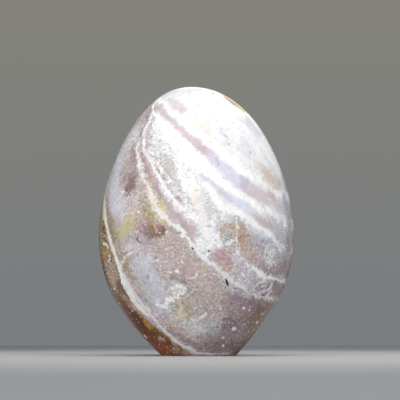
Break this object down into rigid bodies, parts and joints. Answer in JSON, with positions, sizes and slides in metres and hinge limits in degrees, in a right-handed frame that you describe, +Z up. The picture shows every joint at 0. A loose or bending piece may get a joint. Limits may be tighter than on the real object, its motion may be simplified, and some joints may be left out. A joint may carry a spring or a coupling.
{
  "type": "polished stone",
  "caption": "Tall egg-shaped polished stone, flattened front to back, which stands upright on a small flat sawn base.",
  "frame": {"origin": "in the plane of the flat sawn base, under the middle of the stone's breadth and depth", "axes": "+Z up along the stone's height, -Y towards the domed front, +X to the right of the front view"},
  "size_m": [0.1102, 0.0772, 0.1528],
  "materials": {
    "jasper": "polished, glossy, banded white, mauve and grey with tan and ochre patches"
  },
  "bodies": {
    "root": {"jasper_stone": "jasper"}
  },
  "joints": []
}
